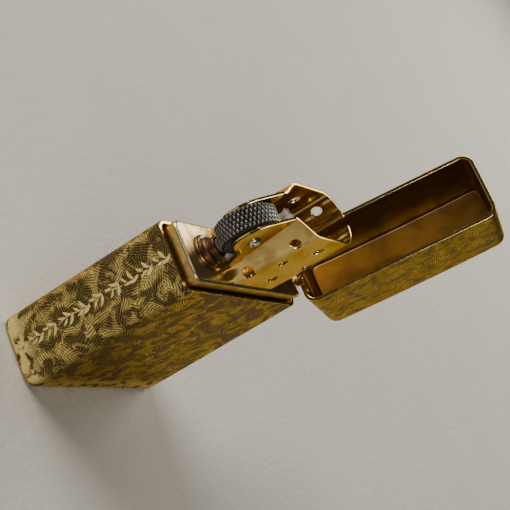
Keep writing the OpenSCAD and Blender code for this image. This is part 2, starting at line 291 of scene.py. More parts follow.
# %% Polished brass
# Seen at a glancing angle, lacquered brass mirrors in this colour and not in white
EDGE_TINT = rgb(0.72, 0.53, 0.24)


def polished_paint(tree):
    place = object_mm(tree)
    cloud = tree.noise(place, 0.22, 4, 0.6).step(0.42, 0.72)
    hairlines = tree.streaks(place, (0.5, 0.5, 14.0), 0.9)
    return {
        "Base Color": tree.mix(cloud, rgb(0.72, 0.53, 0.20), rgb(0.50, 0.335, 0.11)),
        "Roughness": 0.10 + cloud * 0.07 + hairlines * 0.08,
        "Normal": bump(tree, hairlines, 0.0015),
    }


def inside_paint(tree):
    """The unpolished inside of the cans: browned, with the drawing marks left by the press."""
    place = object_mm(tree)
    cloud = tree.noise(place, 0.16, 4, 0.4).step(0.35, 0.70)
    drawn = tree.streaks(place, (0.25, 3.0, 3.0), 1.1)
    return {
        "Base Color": tree.mix(cloud, rgb(0.46, 0.33, 0.165), rgb(0.27, 0.185, 0.085)),
        "Roughness": 0.26 + cloud * 0.10 + drawn * 0.10,
        "Normal": bump(tree, drawn, 0.004),
    }


polished_brass = material("polished_brass", polished_paint, metallic=1.0, specular_tint=EDGE_TINT)
inside_brass = material("inside_brass", inside_paint, metallic=1.0, specular_tint=EDGE_TINT)


# %% Etched brass
def rotated(x, y, turn):
    """How far a point lies along and across a direction that is turned away from +X."""
    return x * turn.cos() + y * turn.sin(), y * turn.cos() - x * turn.sin()


def blade(along, across, length, width, swell):
    """A stroke that tapers to both ends, going from 0 outside to 1 inside."""
    taper = 1 - (along / length) * (along / length)
    return (taper * width * swell - across.abs()).step(0.0, 0.09)


def cuts(tree, place, patch, lines, bend):
    """Parallel cuts, so many to the millimetre, whose direction changes from patch to patch."""
    turn = tree.split(tree.node(
        "ShaderNodeTexVoronoi", {"voronoi_dimensions": "2D"},
        {"Vector": place, "Scale": 1 / patch}, "Color"))[0] * math.tau
    x, y, _ = tree.split(place)
    along, _ = rotated(x, y, turn)
    return ((along * lines + tree.noise(place, 0.5, 2) * bend) * math.tau).sin()


def strokes(tree, place, pitch, length, width, lean):
    """One bent stroke in each cell of a pattern."""
    cell = {"Vector": place, "Scale": 1 / pitch, "Randomness": 0.8}
    flat = {"voronoi_dimensions": "2D"}
    middle = tree.node("ShaderNodeTexVoronoi", flat, cell, "Position")
    tint = tree.split(tree.node("ShaderNodeTexVoronoi", flat, cell, "Color"))
    x, y, _ = tree.split(tree.vector("SUBTRACT", place, middle))
    turn = (tint[0] - 0.5) * 2.2 + lean
    along, across = rotated(x, y, turn)
    across = across + along * along * (tint[1] - 0.5) * (1.2 / length)
    return blade(along, across, length, width, 0.5 + tint[2])


# A leaf of the sprig: where it starts across and along the stem, its turn, length and width
LEAVES = (
    (0.55, -0.9, 0.75, 1.25, 0.26), (-0.6, -0.25, -0.8, 1.1, 0.24),
    (0.5, 0.45, 0.5, 0.85, 0.20), (-0.45, 1.1, -0.55, 0.9, 0.18),
)
LEAF_SWELL = 1.3
SPRIG_PITCH = 3.4
WORN_FROM = 29.0


def sprigs(tree, x, y):
    """A climbing stem with leaves at its sides, each length of it a little different."""
    step = (y / SPRIG_PITCH).floor()
    chance = [tree.random(step + shift) for shift in (0.3, 41.7)]
    low = y - (step + 0.5) * SPRIG_PITCH
    stem = (0.11 - (x - (y * 0.8).sin() * 0.3).abs()).step(0.0, 0.08)
    marks = stem * (chance[1] + 0.25).step(0.5, 0.6)
    for across_at, along_at, turn, length, width in LEAVES:
        angle = (chance[0] - 0.5) * 0.9 + turn
        u = x - across_at
        v = low - along_at + (chance[1] - 0.5) * 0.5
        along, across = rotated(v, u, angle)
        marks = marks.max(blade(along, across + along * along * 0.22, length, width, LEAF_SWELL))
    return marks


def etched_paint(tree, tarnish, sprig_middle=None, sprig_end=0.0):
    """tarnish is how much stays dark, from 0 to 1; a sprig climbs at sprig_middle up to sprig_end."""
    sheet = tree.node("ShaderNodeUVMap", {"uv_map": "sheet"}, {})
    x, y, _ = tree.split(sheet)
    blot = tree.noise(sheet, 0.36, 6, 0.9)
    edge = 0.62 - tarnish * 0.20
    dark = blot.step(edge - 0.05, edge + 0.05)
    hatch = cuts(tree, sheet, 2.4, 2.3, 1.6).step(-0.1, 0.6)
    fine = cuts(tree, sheet, 1.1, 5.5, 0.9).step(0.3, 0.9)
    speck = tree.noise(sheet, 3.2, 2).step(0.50, 0.62)
    feather = strokes(tree, sheet, 1.7, 1.0, 0.16, 0.9)
    feather = feather.max(strokes(tree, tree.vector("ADD", sheet, (7.3, 3.1, 0)), 1.2, 0.75, 0.12, 0.4))
    cut = (hatch * 0.60 + fine * 0.35 + speck * 0.40).step(0.20, 0.85)
    gold = tree.mix(blot.step(0.30, 0.50), rgb(0.95, 0.76, 0.28), rgb(0.60, 0.45, 0.14))
    brown = tree.mix(dark, rgb(0.17, 0.120, 0.040), rgb(0.030, 0.021, 0.010))
    colour = tree.mix(cut * (1 - dark * 0.70), brown, gold)
    group = tree.noise(sheet, 0.33, 2).step(0.50, 0.60)
    lit = feather * group * (1 - dark * 0.5) * 0.6
    if sprig_middle is not None:
        sprig = sprigs(tree, x - sprig_middle, y) * (sprig_end - y).step(0.0, 0.4)
        lit = lit.max(sprig)
        worn = (y - WORN_FROM).step(0.0, 4.0) * tree.noise(sheet, 0.45, 2).step(0.42, 0.50)
        lit = lit.max(worn)
    return {
        "Base Color": tree.mix(lit, colour, rgb(0.98, 0.80, 0.34)),
        "Roughness": 0.38 - lit * 0.18 - cut * 0.08,
        "Metallic": 1 - dark * 0.25 * (1 - lit),
        "Normal": bump(tree, lit + cut * 0.5, 0.035),
    }


# %% [markdown]
# ## Sheet metal cans
# The case and its lid are drawn cans: one wall of even thickness that turns a round corner into a
# closed end. A grid does this well: its columns stand on a rounded rectangle, and each of its rows
# is that outline at some height and some way in. The cut-out for the hinge is left out of the grid
# and walled up. Rows and columns give the sheet map, in millimetres, that the etching follows.

# %% Grid of a can
CASE_W, CASE_D = 38.0, 13.0
WALL = 0.65
CORNER_R = 2.2
EDGE_R = 1.1
LIP_R = 0.12
GRAIN = 0.4
NOTCH_HALF = 4.225
CORNER_PARTS = 12
OUTER, EDGE, INNER = range(3)
# Where the sheet map of a closed end lies, well away from the walls
END_SHIFT = (150, 20)


def spaced(stops, step):
    """Numbers from the first stop to the last, at every stop and no more than step apart."""
    out = []
    for low, high in zip(stops, stops[1:]):
        count = max(1, math.ceil(abs(high - low) / step))
        out += [low + (high - low) * k / count for k in range(count)]
    return out + [stops[-1]]


def outline(w, d, r, notch):
    """One turn round a rounded rectangle from +X: points, outward directions and distances run."""
    half = [(w / 2, y, 1.0, 0.0) for y in spaced([0, notch, d / 2 - r], GRAIN)]
    for k in range(1, CORNER_PARTS + 1):
        a = math.pi / 2 * k / CORNER_PARTS
        half.append((w / 2 - r + r * math.cos(a), d / 2 - r + r * math.sin(a), math.cos(a), math.sin(a)))
    half += [(x, d / 2, 0.0, 1.0) for x in spaced([w / 2 - r, 0], GRAIN)[1:]]
    half += [(-x, y, -nx, ny) for x, y, nx, ny in half[-2::-1]]
    whole = np.array(half + [(x, -y, nx, -ny) for x, y, nx, ny in half[-2:0:-1]])
    runs = np.linalg.norm(np.roll(whole[:, :2], -1, axis=0) - whole[:, :2], axis=1)
    return whole[:, :2], whole[:, 2:], np.concatenate([[0], np.cumsum(runs)])


def can(name, rim_z, up, end_height, notch_depth, finishes):
    """A can from its rim at rim_z, growing by up (+1 or -1) to a closed end at end_height(x)."""
    at, out, run = outline(CASE_W, CASE_D, CORNER_R, NOTCH_HALF)
    n = len(at)
    end_side = int(np.argmax(at[:, 0] < CASE_W / 2 - 1e-6)) - 1
    notch_side = int(np.argmin(np.abs(at[:n // 4, 1] - NOTCH_HALF)))
    in_notch = [i < notch_side or i >= n - notch_side for i in range(n)]
    points = []

    def row(inset, depth, from_end=None):
        """Adds one row of points: inset from the outline, at depth or at from_end before the end."""
        start = len(points)
        for (x, y), (nx, ny) in zip(at, out):
            px, py = x - inset * nx, y - inset * ny
            t = depth
            if from_end is not None:
                t = notch_depth + (end_height(px) - from_end - notch_depth) * depth
            points.append((px, py, rim_z + up * t))
        return list(range(start, start + n))

    lip = [(LIP_R * (1 - math.sin(a)), LIP_R * (1 - math.cos(a))) for a in np.linspace(0, math.pi / 2, 4)]
    outer = [row(inset, depth) for inset, depth in lip]
    outer += [row(0, depth) for depth in spaced([LIP_R, notch_depth], GRAIN)[1:]]
    notch_row = len(outer) - 1
    walls = max(2, math.ceil((end_height(0) - EDGE_R - notch_depth) / GRAIN))
    outer += [row(0, k / walls, EDGE_R) for k in range(1, walls + 1)]
    for a in np.linspace(0, math.pi / 2, 9)[1:]:
        outer.append(row(EDGE_R * (1 - math.cos(a)), 1.0, EDGE_R * (1 - math.sin(a))))
    inner = [row(WALL - inset, depth) for inset, depth in lip]
    inner_notch_row = len(inner)
    inner.append(row(WALL, notch_depth))
    inner.append(row(WALL, 1.0, EDGE_R))
    for a in np.linspace(0, math.pi / 2, 6)[1:]:
        bend = EDGE_R - WALL
        inner.append(row(WALL + bend * (1 - math.cos(a)), 1.0, EDGE_R - bend * math.sin(a)))

    faces, kinds, maps = [], [], []

    def face(ring, kind, corners):
        faces.append(ring)
        kinds.append(kind)
        maps.append(corners)

    def skin(rows, kind, notch_rows, flip):
        for j in range(len(rows) - 1):
            for i in range(n):
                if j < notch_rows and in_notch[i]:
                    continue
                k = (i + 1) % n
                ring = [rows[j][i], rows[j][k], rows[j + 1][k], rows[j + 1][i]]
                depth = [up * (points[p][2] - rim_z) for p in ring]
                flat = list(zip((run[i], run[i + 1], run[i + 1], run[i]), depth))
                here = kind if j >= len(lip) - 1 else EDGE
                face(ring[::-1] if flip else ring, here, flat[::-1] if flip else flat)

    skin(outer, OUTER, notch_row, False)
    skin(inner, INNER, inner_notch_row, True)
    for i in range(n):
        k = (i + 1) % n
        near, far = (outer[notch_row], inner[inner_notch_row]) if in_notch[i] else (outer[0], inner[0])
        face([near[i], far[i], far[k], near[k]], EDGE, [(0, 0)] * 4)
    for i in (notch_side, n - notch_side):
        ring = [r[i] for r in outer[:notch_row + 1]] + [r[i] for r in inner[:inner_notch_row + 1]][::-1]
        face(ring, EDGE, [(0, 0)] * len(ring))

    def closed_end(rim_row, kind):
        """The flat or domed end: strips across it, at its own x from one long side to the other."""
        last = [rim_row[i] for i in range(end_side, -1, -1)] + [rim_row[-i] for i in range(1, end_side + 1)]
        for i in range(end_side + 1, n // 2 - end_side + 1):
            a, b = points[rim_row[i]], points[rim_row[n - i]]
            if i == n // 2 - end_side:
                column = [rim_row[j] for j in range(i, i + 2 * end_side + 1)]
            else:
                column = [rim_row[i]]
                for k in range(1, 2 * end_side):
                    points.append(tuple(a[c] + (b[c] - a[c]) * k / (2 * end_side) for c in range(3)))
                    column.append(len(points) - 1)
                column.append(rim_row[n - i])
            for k in range(2 * end_side):
                ring = [last[k], last[k + 1], column[k + 1], column[k]]
                face(ring, kind, [(points[p][0] + END_SHIFT[0], points[p][1] + END_SHIFT[1]) for p in ring])
            last = column

    closed_end(outer[-1], OUTER)
    closed_end(inner[-1], INNER)

    made = add_mesh(name, [tuple(c * MM for c in p) for p in points], faces, *finishes)
    mesh = made.data
    layer = mesh.uv_layers.new(name="sheet")
    for polygon, kind, corners in zip(mesh.polygons, kinds, maps):
        polygon.material_index = kind
        for loop, corner in zip(polygon.loop_indices, corners):
            layer.data[loop].uv = corner
    print(name, len(faces), "faces, outline", round(run[-1], 2), "mm")
    return made


def smooth(made, angle=35.0):
    """Smooth shading with sharp edges past the angle."""
    made.data.shade_smooth()
    made.data.set_sharp_from_angle(angle=math.radians(angle))
    return made


def outward(made):
    """Merges doubles and turns the faces outwards."""
    bm = bmesh.new()
    bm.from_mesh(made.data)
    bmesh.ops.remove_doubles(bm, verts=bm.verts, dist=1e-7)
    bmesh.ops.recalc_face_normals(bm, faces=bm.faces)
    open_edges = sum(1 for e in bm.edges if not e.is_manifold)
    volume = bm.calc_volume()
    bm.to_mesh(made.data)
    bm.free()
    print(made.name, len(made.data.polygons), "faces,", open_edges, "open edges,",
          round(volume * 1e9, 1), "mm3")
    return made


# %% Case
CASE_H = 34.5
HINGE = Vector((20.86, 0, 33.82))
OPEN_ANGLE = math.radians(105.66)
CASE_TARNISH, LID_TARNISH = 0.66, 0.30
CASE_NOTCH, LID_NOTCH = 1.93, 0.47
SPRIG_MIDDLE, SPRIG_END = 49.0, 33.0
etched_case = material(
    "etched_brass", lambda tree: etched_paint(tree, CASE_TARNISH, SPRIG_MIDDLE, SPRIG_END),
    specular_tint=EDGE_TINT)
etched_lid = material(
    "etched_brass_lid", lambda tree: etched_paint(tree, LID_TARNISH), specular_tint=EDGE_TINT)

case_finishes = (etched_case, polished_brass, inside_brass)
case_body = smooth(outward(can("case", CASE_H, -1, lambda x: CASE_H, CASE_NOTCH, case_finishes)))
stands_for(case_body, "case_body", "case")

# %% Lid
LID_H = 22.4
DOME_DROP = 0.9
RIM_GAP = 0.1


def dome(x):
    return LID_H - RIM_GAP - DOME_DROP * (x / (CASE_W / 2)) ** 2


lid = can("lid", CASE_H + RIM_GAP, 1, dome, LID_NOTCH, (etched_lid, polished_brass, inside_brass))
swing = (Matrix.Translation(HINGE * MM) @ Matrix.Rotation(OPEN_ANGLE, 4, "Y")
         @ Matrix.Translation(-HINGE * MM))
lid.data.transform(swing)
smooth(outward(lid))
stands_for(lid, "case_lid", "lid")

# %% [markdown]
# ## Pieces off the bench
# Hinge leaves, pin, cam, rivets and springs already have their true shape in the CAD model. A
# machined edge is never quite sharp, though, and the thin bright line along it is most of what the
# eye takes for metal. So each is copied, its loose triangles are merged back into flat faces, and
# its edges get a fine bevel.

# %% Bevelled copies
SHARP_FROM = math.radians(30)


def solid_mesh(node):
    """A copy of a CAD node's mesh, in its place."""
    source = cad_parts[node]
    mesh = source.data.copy()
    mesh.transform(source.matrix_world)
    return mesh


def bench_copy(node, body, finish, bevel_mm=0.08):
    """A copy of a CAD node with merged faces and bevelled edges, standing for the node."""
    mesh = solid_mesh(node)
    mesh.materials.clear()
    mesh.materials.append(finish)
    bm = bmesh.new()
    bm.from_mesh(mesh)
    for polygon in bm.faces:
        polygon.material_index = 0
    bmesh.ops.remove_doubles(bm, verts=bm.verts, dist=2e-6)
    bmesh.ops.dissolve_degenerate(bm, edges=bm.edges, dist=1e-6)
    bmesh.ops.dissolve_limit(bm, angle_limit=math.radians(0.4), verts=bm.verts, edges=bm.edges)
    if bevel_mm:
        sharp = [e for e in bm.edges if e.is_manifold and e.calc_face_angle() > SHARP_FROM]
        bmesh.ops.bevel(
            bm, geom=sharp, offset=bevel_mm * MM, offset_type="OFFSET", segments=2,
            profile=0.5, affect="EDGES", clamp_overlap=True, material=-1,
        )
    bm.to_mesh(mesh)
    bm.free()
    made = smooth(linked(node.replace("_", "-") + "-finished", mesh))
    stands_for(made, node, body)
    print(node, len(mesh.polygons), "faces")
    return made


# %% Steel
def steel_paint(tree):
    place = object_mm(tree)
    grain = tree.streaks(place, (6.0, 1.0, 6.0), 1.5)
    stain = tree.noise(place, 0.8, 3).step(0.5, 0.75)
    return {
        "Base Color": tree.mix(stain, rgb(0.62, 0.60, 0.56), rgb(0.40, 0.36, 0.30)),
        "Roughness": 0.20 + grain * 0.12,
        "Normal": bump(tree, grain, 0.003),
    }


def spring_paint(tree):
    place = object_mm(tree)
    bluing = tree.noise(place, 0.5, 3).step(0.3, 0.7)
    return {
        "Base Color": tree.mix(bluing, rgb(0.36, 0.36, 0.37), rgb(0.22, 0.24, 0.30)),
        "Roughness": 0.28 + bluing * 0.12,
        "Normal": bump(tree, tree.noise(place, 7.0, 2), 0.002),
    }


def flint_paint(tree):
    place = object_mm(tree)
    pits = tree.noise(place, 4.0, 5)
    return {
        "Base Color": tree.mix(pits, rgb(0.10, 0.10, 0.105), rgb(0.24, 0.235, 0.23)),
        "Roughness": 0.55 + pits * 0.25,
        "Normal": bump(tree, pits, 0.03),
    }


steel = material("rivet_steel", steel_paint, metallic=1.0)
spring_steel = material("spring_steel", spring_paint, metallic=1.0)
flint_metal = material("flint_metal", flint_paint, metallic=0.6)

bench_copy("hinge_body_leaf", "case", polished_brass)
bench_copy("hinge_lid_leaf", "lid", polished_brass)
bench_copy("hinge_pin", "case", steel)
bench_copy("cam", "cam", steel, 0.12)
bench_copy("cam_rivet", "case", steel, 0.05)
bench_copy("cam_spring", "case", spring_steel, 0.05)
bench_copy("cam_spring_rivet", "case", steel)
bench_copy("flint", "flint", flint_metal, 0.10)
bench_copy("flint_plunger", "flint", polished_brass, 0.10)
feed_spring = bench_copy("flint_spring", "case", spring_steel, 0)
bench_copy("flint_screw", "case", polished_brass, 0.10)

# %% The feed spring gets its own mesh
WHEEL_X = -10.8
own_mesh(feed_spring)

# %% [markdown]
# ## Chimney
# The chimney is one piece of sheet, bent round the wick and folded in to two ears that hold the
# wheel. It is cut out flat, like the real one: its outline and its air holes go into a constrained
# triangulation, and every point is then carried to its place on the bent shape, slanted fold and all.
# Averaging that place over a short stretch of sheet gives each bend its radius. Two skins, each half
# a thickness away from the middle, are joined along the cut edges with a small round.

# %% Chimney sheet
RIM = CASE_H
DECK_UP, TOP_UP = 1.96, 18.0
SHEET = 0.5
EAR_MID = 2.6 - SHEET / 2
WALL_MID = 5.23 - SHEET / 2
ROUND_X = 6.25
EAR_EDGE = (-6.63, -8.7)
WALL_EDGE = (-6.03, -3.95)
FOLD_W = 3.4
SLOT_TURN = math.acos(0.9 / WALL_MID)
HOLE_R = 1.1
WALL_HOLES = ((2.1, 5.0), (2.1, 14.6), (-2.3, 9.8), (6.1, 9.8))
FOLD_HOLES = ((3.15, 5.0), (2.4, 14.4))
ROUND_HOLES = (5.0, 14.6)
ROUND_HOLE_RUN = WALL_MID * math.radians(40)
WHEEL = Vector((WHEEL_X, 0, 44.85))
RIVET_R = 0.7
EAR = (
    (-9.4, 18.0), (-13.2, 14.7), (-14.1, 13.5), (-14.6, 11.9), (-14.7, 10.1), (-14.4, 9.0),
    (-13.6, 8.1), (-11.4, 7.0), (-9.2, 6.0), (-8.3, 4.2),
)


def share(h):
    """How far up the chimney a height is, from 0 at the deck to 1 at the top."""
    return (h - DECK_UP) / (TOP_UP - DECK_UP)


def edge_x(edge, h):
    return edge[0] + (edge[1] - edge[0]) * share(h)


def bent(p, h):
    """Where the sheet's point p along and h up lies: p is 0 at the ear's fold and runs to the slot."""
    v = share(h)
    ear_x, wall_x = edge_x(EAR_EDGE, h), edge_x(WALL_EDGE, h)
    if p <= 0:
        return ear_x + p, EAR_MID
    if p < FOLD_W:
        u = p / FOLD_W
        y = EAR_MID + (WALL_MID - EAR_MID) * u
        if u < v:
            return ear_x + u * (WALL_EDGE[1] - EAR_EDGE[1]), y
        return (EAR_EDGE[0] + u * (WALL_EDGE[0] - EAR_EDGE[0])
                + v * (WALL_EDGE[1] - WALL_EDGE[0])), y
    x = wall_x + p - FOLD_W
    if x <= ROUND_X:
        return x, WALL_MID
    turn = (x - ROUND_X) / WALL_MID
    return ROUND_X + WALL_MID * math.sin(turn), WALL_MID * math.cos(turn)


BEND_R = 0.55


def placed(p, h, side):
    """The bent place, averaged over a stretch of sheet so that each bend is round."""
    spots = [bent(p + BEND_R * k / 4, h) for k in range(-4, 5)]
    x = sum(s[0] for s in spots) / len(spots)
    y = sum(s[1] for s in spots) / len(spots)
    return x, side * y, RIM + h


def wall_p(x, h):
    """How far along the sheet a place at x on the wide wall is."""
    return FOLD_W + x - edge_x(WALL_EDGE, h)


def punched(p, h, radius, count=40):
    """The flat outline of a hole that is round on the bent sheet, found by a few steps of search."""
    def at(q):
        return Vector(placed(q[0], q[1], 1))

    small = 0.05
    along = at((p + small, h)) - at((p - small, h))
    rise = at((p, h + small)) - at((p, h - small))
    across = along.normalized()
    upwards = (rise - across * rise.dot(across)).normalized()
    loop = []
    for k in range(count):
        a = math.tau * k / count
        goal = (radius * math.cos(a), radius * math.sin(a))
        q = [p + goal[0], h + goal[1]]
        for _ in range(12):
            gap = at(q) - at((p, h))
            miss_x, miss_y = goal[0] - gap.dot(across), goal[1] - gap.dot(upwards)
            step_p = (at((q[0] + small, q[1])) - at((q[0] - small, q[1]))) / (2 * small)
            step_h = (at((q[0], q[1] + small)) - at((q[0], q[1] - small))) / (2 * small)
            slope = Matrix((
                (step_p.dot(across), step_h.dot(across)),
                (step_p.dot(upwards), step_h.dot(upwards)),
            ))
            move = slope.inverted_safe() @ Vector((miss_x, miss_y))
            q = [q[0] + move[0] * 0.7, q[1] + move[1] * 0.7]
        loop.append(tuple(q))
    return loop


def chimney_layout():
    """Outline and holes of half the chimney, flat."""
    slot_p = [FOLD_W + ROUND_X - edge_x(WALL_EDGE, h) + WALL_MID * SLOT_TURN for h in (DECK_UP, TOP_UP)]
    edge = [(0.0, DECK_UP), (FOLD_W, DECK_UP), (slot_p[0], DECK_UP), (slot_p[1], TOP_UP)]
    edge += [(FOLD_W, TOP_UP), (0.0, TOP_UP)]
    edge += [(x - edge_x(EAR_EDGE, h), h) for x, h in EAR]
    centres = [(wall_p(x, h), h) for x, h in WALL_HOLES] + list(FOLD_HOLES)
    centres += [(wall_p(ROUND_X, h) + ROUND_HOLE_RUN, h) for h in ROUND_HOLES]
    holes = [punched(p, h, HOLE_R) for p, h in centres]
    axle = WHEEL.z - RIM
    holes.append(punched(WHEEL.x - edge_x(EAR_EDGE, axle), axle, RIVET_R + 0.02, 32))
    return edge, holes


def subdivided(loop, step):
    """A closed outline with points no more than step apart."""
    out = []
    for (x0, y0), (x1, y1) in zip(loop, loop[1:] + loop[:1]):
        count = max(1, math.ceil(math.hypot(x1 - x0, y1 - y0) / step))
        out += [(x0 + (x1 - x0) * k / count, y0 + (y1 - y0) * k / count) for k in range(count)]
    return out


def inside(point, loop):
    """Whether a point lies within a closed outline."""
    x, y = point
    hit = False
    for (x0, y0), (x1, y1) in zip(loop, loop[1:] + loop[:1]):
        if (y0 > y) != (y1 > y) and x < x0 + (y - y0) * (x1 - x0) / (y1 - y0):
            hit = not hit
    return hit


def near(point, loops, gap):
    """Whether a point is closer than gap to a point of any outline."""
    return any(
        (point[0] - x) ** 2 + (point[1] - y) ** 2 < gap * gap
        for loop in loops for x, y in loop)


# Triangles of less than half this area, in square millimetres, are left out
SLIVER = 2e-4


def cut_sheet(edge, holes, grain):
    """Flat triangles that fill an outline and leave its holes open, with the rims as vertex loops."""
    edge = subdivided(edge, grain)
    loops = [edge] + [hole[::-1] for hole in holes]
    points, rims, edges = [], [], []
    for loop in loops:
        first = len(points)
        points += loop
        edges += [(first + k, first + (k + 1) % len(loop)) for k in range(len(loop))]
        rims.append(range(first, len(points)))
    low_x, high_x = min(x for x, y in edge), max(x for x, y in edge)
    low_y, high_y = min(y for x, y in edge), max(y for x, y in edge)
    for i, x in enumerate(np.arange(low_x + grain / 2, high_x, grain)):
        for y in np.arange(low_y + grain * (0.5 + 0.5 * (i % 2)), high_y, grain):
            spot = (float(x), float(y))
            if inside(spot, edge) and not near(spot, loops, grain * 0.6):
                points.append(spot)
    made = delaunay_2d_cdt([Vector(p) for p in points], edges, [], 0, 1e-6)
    flat = [tuple(v) for v in made[0]]
    now = {old: k for k, olds in enumerate(made[3]) for old in olds}
    keep = []
    for triangle in made[2]:
        (ax, ay), (bx, by), (cx, cy) = (flat[v] for v in triangle)
        if abs((bx - ax) * (cy - ay) - (cx - ax) * (by - ay)) < SLIVER:
            continue
        middle = ((ax + bx + cx) / 3, (ay + by + cy) / 3)
        if inside(middle, edge) and not any(inside(middle, hole) for hole in holes):
            keep.append(tuple(triangle))
    return flat, keep, [[now[k] for k in rim] for rim in rims]


# %% Sheet with a thickness
BROKEN = 0.09
NUDGE = 0.01


def thick_sheet(flat, triangles, rims, place, side, thick=SHEET):
    """Both skins of a bent sheet and its cut edges, whose corners are broken by a small round."""
    middle, normal = [], []
    for x, y in flat:
        here = Vector(place(x, y, side))
        along = Vector(place(x + NUDGE, y, side)) - Vector(place(x - NUDGE, y, side))
        rise = Vector(place(x, y + NUDGE, side)) - Vector(place(x, y - NUDGE, side))
        middle.append(here)
        normal.append(along.cross(rise).normalized() * -side)
    inward = {}
    for rim in rims:
        for k, v in enumerate(rim):
            run = middle[rim[(k + 1) % len(rim)]] - middle[rim[k - 1]]
            inward[v] = run.cross(normal[v]).normalized() * -side
    zero = Vector((0, 0, 0))
    points, faces = [], []
    count = len(flat)
    for lift in (1, -1):
        points += [m + n * (lift * thick / 2) + inward.get(v, zero) * BROKEN
                   for v, (m, n) in enumerate(zip(middle, normal))]
    up_way = [t[::-1] if side > 0 else t for t in triangles]
    faces += up_way
    faces += [tuple(v + count for v in t[::-1]) for t in up_way]
    rounds = [(lift * (thick / 2 - BROKEN * (1 - math.sin(a))), BROKEN * (1 - math.cos(a)))
              for lift, a in ((1, math.pi / 4), (1, 0), (-1, 0), (-1, math.pi / 4))]
    for rim in rims:
        rows = [list(rim)]
        for lift, step in rounds:
            rows.append(list(range(len(points), len(points) + len(rim))))
            points += [middle[v] + normal[v] * lift + inward[v] * step for v in rim]
        rows.append([v + count for v in rim])
        for a, b in zip(rows, rows[1:]):
            for k in range(len(rim)):
                m = (k + 1) % len(rim)
                quad = (a[k], b[k], b[m], a[m])
                faces.append(quad if side > 0 else quad[::-1])
    return points, faces


# %% Chimney mesh
CHIMNEY_GRAIN = 0.33
edge, holes = chimney_layout()
flat, triangles, rims = cut_sheet(edge, holes, CHIMNEY_GRAIN)
points, faces = [], []
for side in (1, -1):
    more, new = thick_sheet(flat, triangles, rims, placed, side)
    faces += [tuple(v + len(points) for v in f) for f in new]
    points += more
used = sorted({v for f in faces for v in f})
place_of = {v: k for k, v in enumerate(used)}
chimney = add_mesh(
    "chimney_sheet", [points[v] * MM for v in used], [[place_of[v] for v in f] for f in faces],
    polished_brass)
smooth(outward(chimney), 50)
stands_for(chimney, "chimney", "case")

# %% [markdown]
# ## Insert
# The insert is a drawn box turned upside down: four walls and a deck with a tight edge, punched for
# the wick, the flint tube and the cam. Rows of one rounded rectangle make the walls and the deck's
# edge; the deck itself is cut from a triangulation, as the chimney was, so its holes share their
# points above and below and the box stays one closed skin. The cam's ears are plates bent up from it.

# %% Insert
DECK = RIM + DECK_UP
INSERT_W, INSERT_D, INSERT_R = 35.0, 11.2, 1.6
INSERT_T, INSERT_FOOT, INSERT_EDGE = 0.45, 0.7, 0.5
CAM = Vector((14.9, 0, 37.7))
CAM_GAP_HALF = 0.85
CAM_SLOT = (CAM.x - 2.6, CAM.x + 1.9)
EAR_T = 0.4
WICK_X = -3.4
TUBE_HOLE_R, WICK_HOLE_R = 1.92, 1.6
DECK_GRAIN = 0.45


def ring(x, y, radius, count):
    """A circle as a list of flat points."""
    return [(x + radius * math.cos(math.tau * k / count), y + radius * math.sin(math.tau * k / count))
            for k in range(count)]


def box_loop(x0, x1, y0, y1, step=0.4):
    return subdivided([(x0, y0), (x1, y0), (x1, y1), (x0, y1)], step)


def insert_paint(tree):
    """Polished like the chimney, but browned down its walls, with a painted highlight along the deck's
    rounded edge.
    """
    place = object_mm(tree)
    height = tree.split(place)[2]
    cloud = tree.noise(place, 0.35, 4, 0.5).step(0.35, 0.70)
    hairlines = tree.streaks(place, (0.5, 14.0, 0.5), 0.9)
    deck = height.step(DECK - 0.35, DECK - 0.05)
    walls = tree.mix(cloud, rgb(0.60, 0.42, 0.15), rgb(0.42, 0.27, 0.09))
    plain = tree.mix(cloud, rgb(0.48, 0.42, 0.26), rgb(0.28, 0.215, 0.115))
    # A pale band round the deck's rounded edge is a painted highlight.
    edge = (1 - (height - DECK + 0.25).abs() * 5.0).max(0.0)
    return {
        # The pale colour mixed in by the edge band is the painted highlight.
        "Base Color": tree.mix(edge * 0.8, tree.mix(deck, walls, plain), rgb(0.84, 0.74, 0.46)),
        "Roughness": 0.20 + cloud * 0.08 + hairlines * 0.10 + deck * 0.08,
        "Normal": bump(tree, hairlines, 0.002),
    }


insert_brass = material("insert_brass", insert_paint, metallic=1.0, specular_tint=EDGE_TINT)
at, out, _ = outline(INSERT_W, INSERT_D, INSERT_R, 1.0)
deck_holes = [
    ring(WHEEL.x, 0, TUBE_HOLE_R, 48), ring(WICK_X, 0, WICK_HOLE_R, 40),
    box_loop(*CAM_SLOT, -CAM_GAP_HALF, CAM_GAP_HALF),
]
points, faces = [], []


def insert_row(inset, height):
    """Indices of one new row of points round the insert."""
    start = len(points)
    points.extend((x - inset * nx, y - inset * ny, height) for (x, y), (nx, ny) in zip(at, out))
    return list(range(start, start + len(at)))


def insert_deck(inset, height):
    """Indices of the deck's outer row and its holes, after adding its triangles."""
    start = len(points)
    row = [(x - inset * nx, y - inset * ny) for (x, y), (nx, ny) in zip(at, out)]
    flat, triangles, rims = cut_sheet(row, deck_holes, DECK_GRAIN)
    points.extend((x, y, height) for x, y in flat)
    faces.extend(tuple(start + v for v in t) for t in triangles)
    return [[start + v for v in rim] for rim in rims]


def joined(low, high):
    for k in range(len(low)):
        m = (k + 1) % len(low)
        faces.append((low[k], low[m], high[m], high[k]))


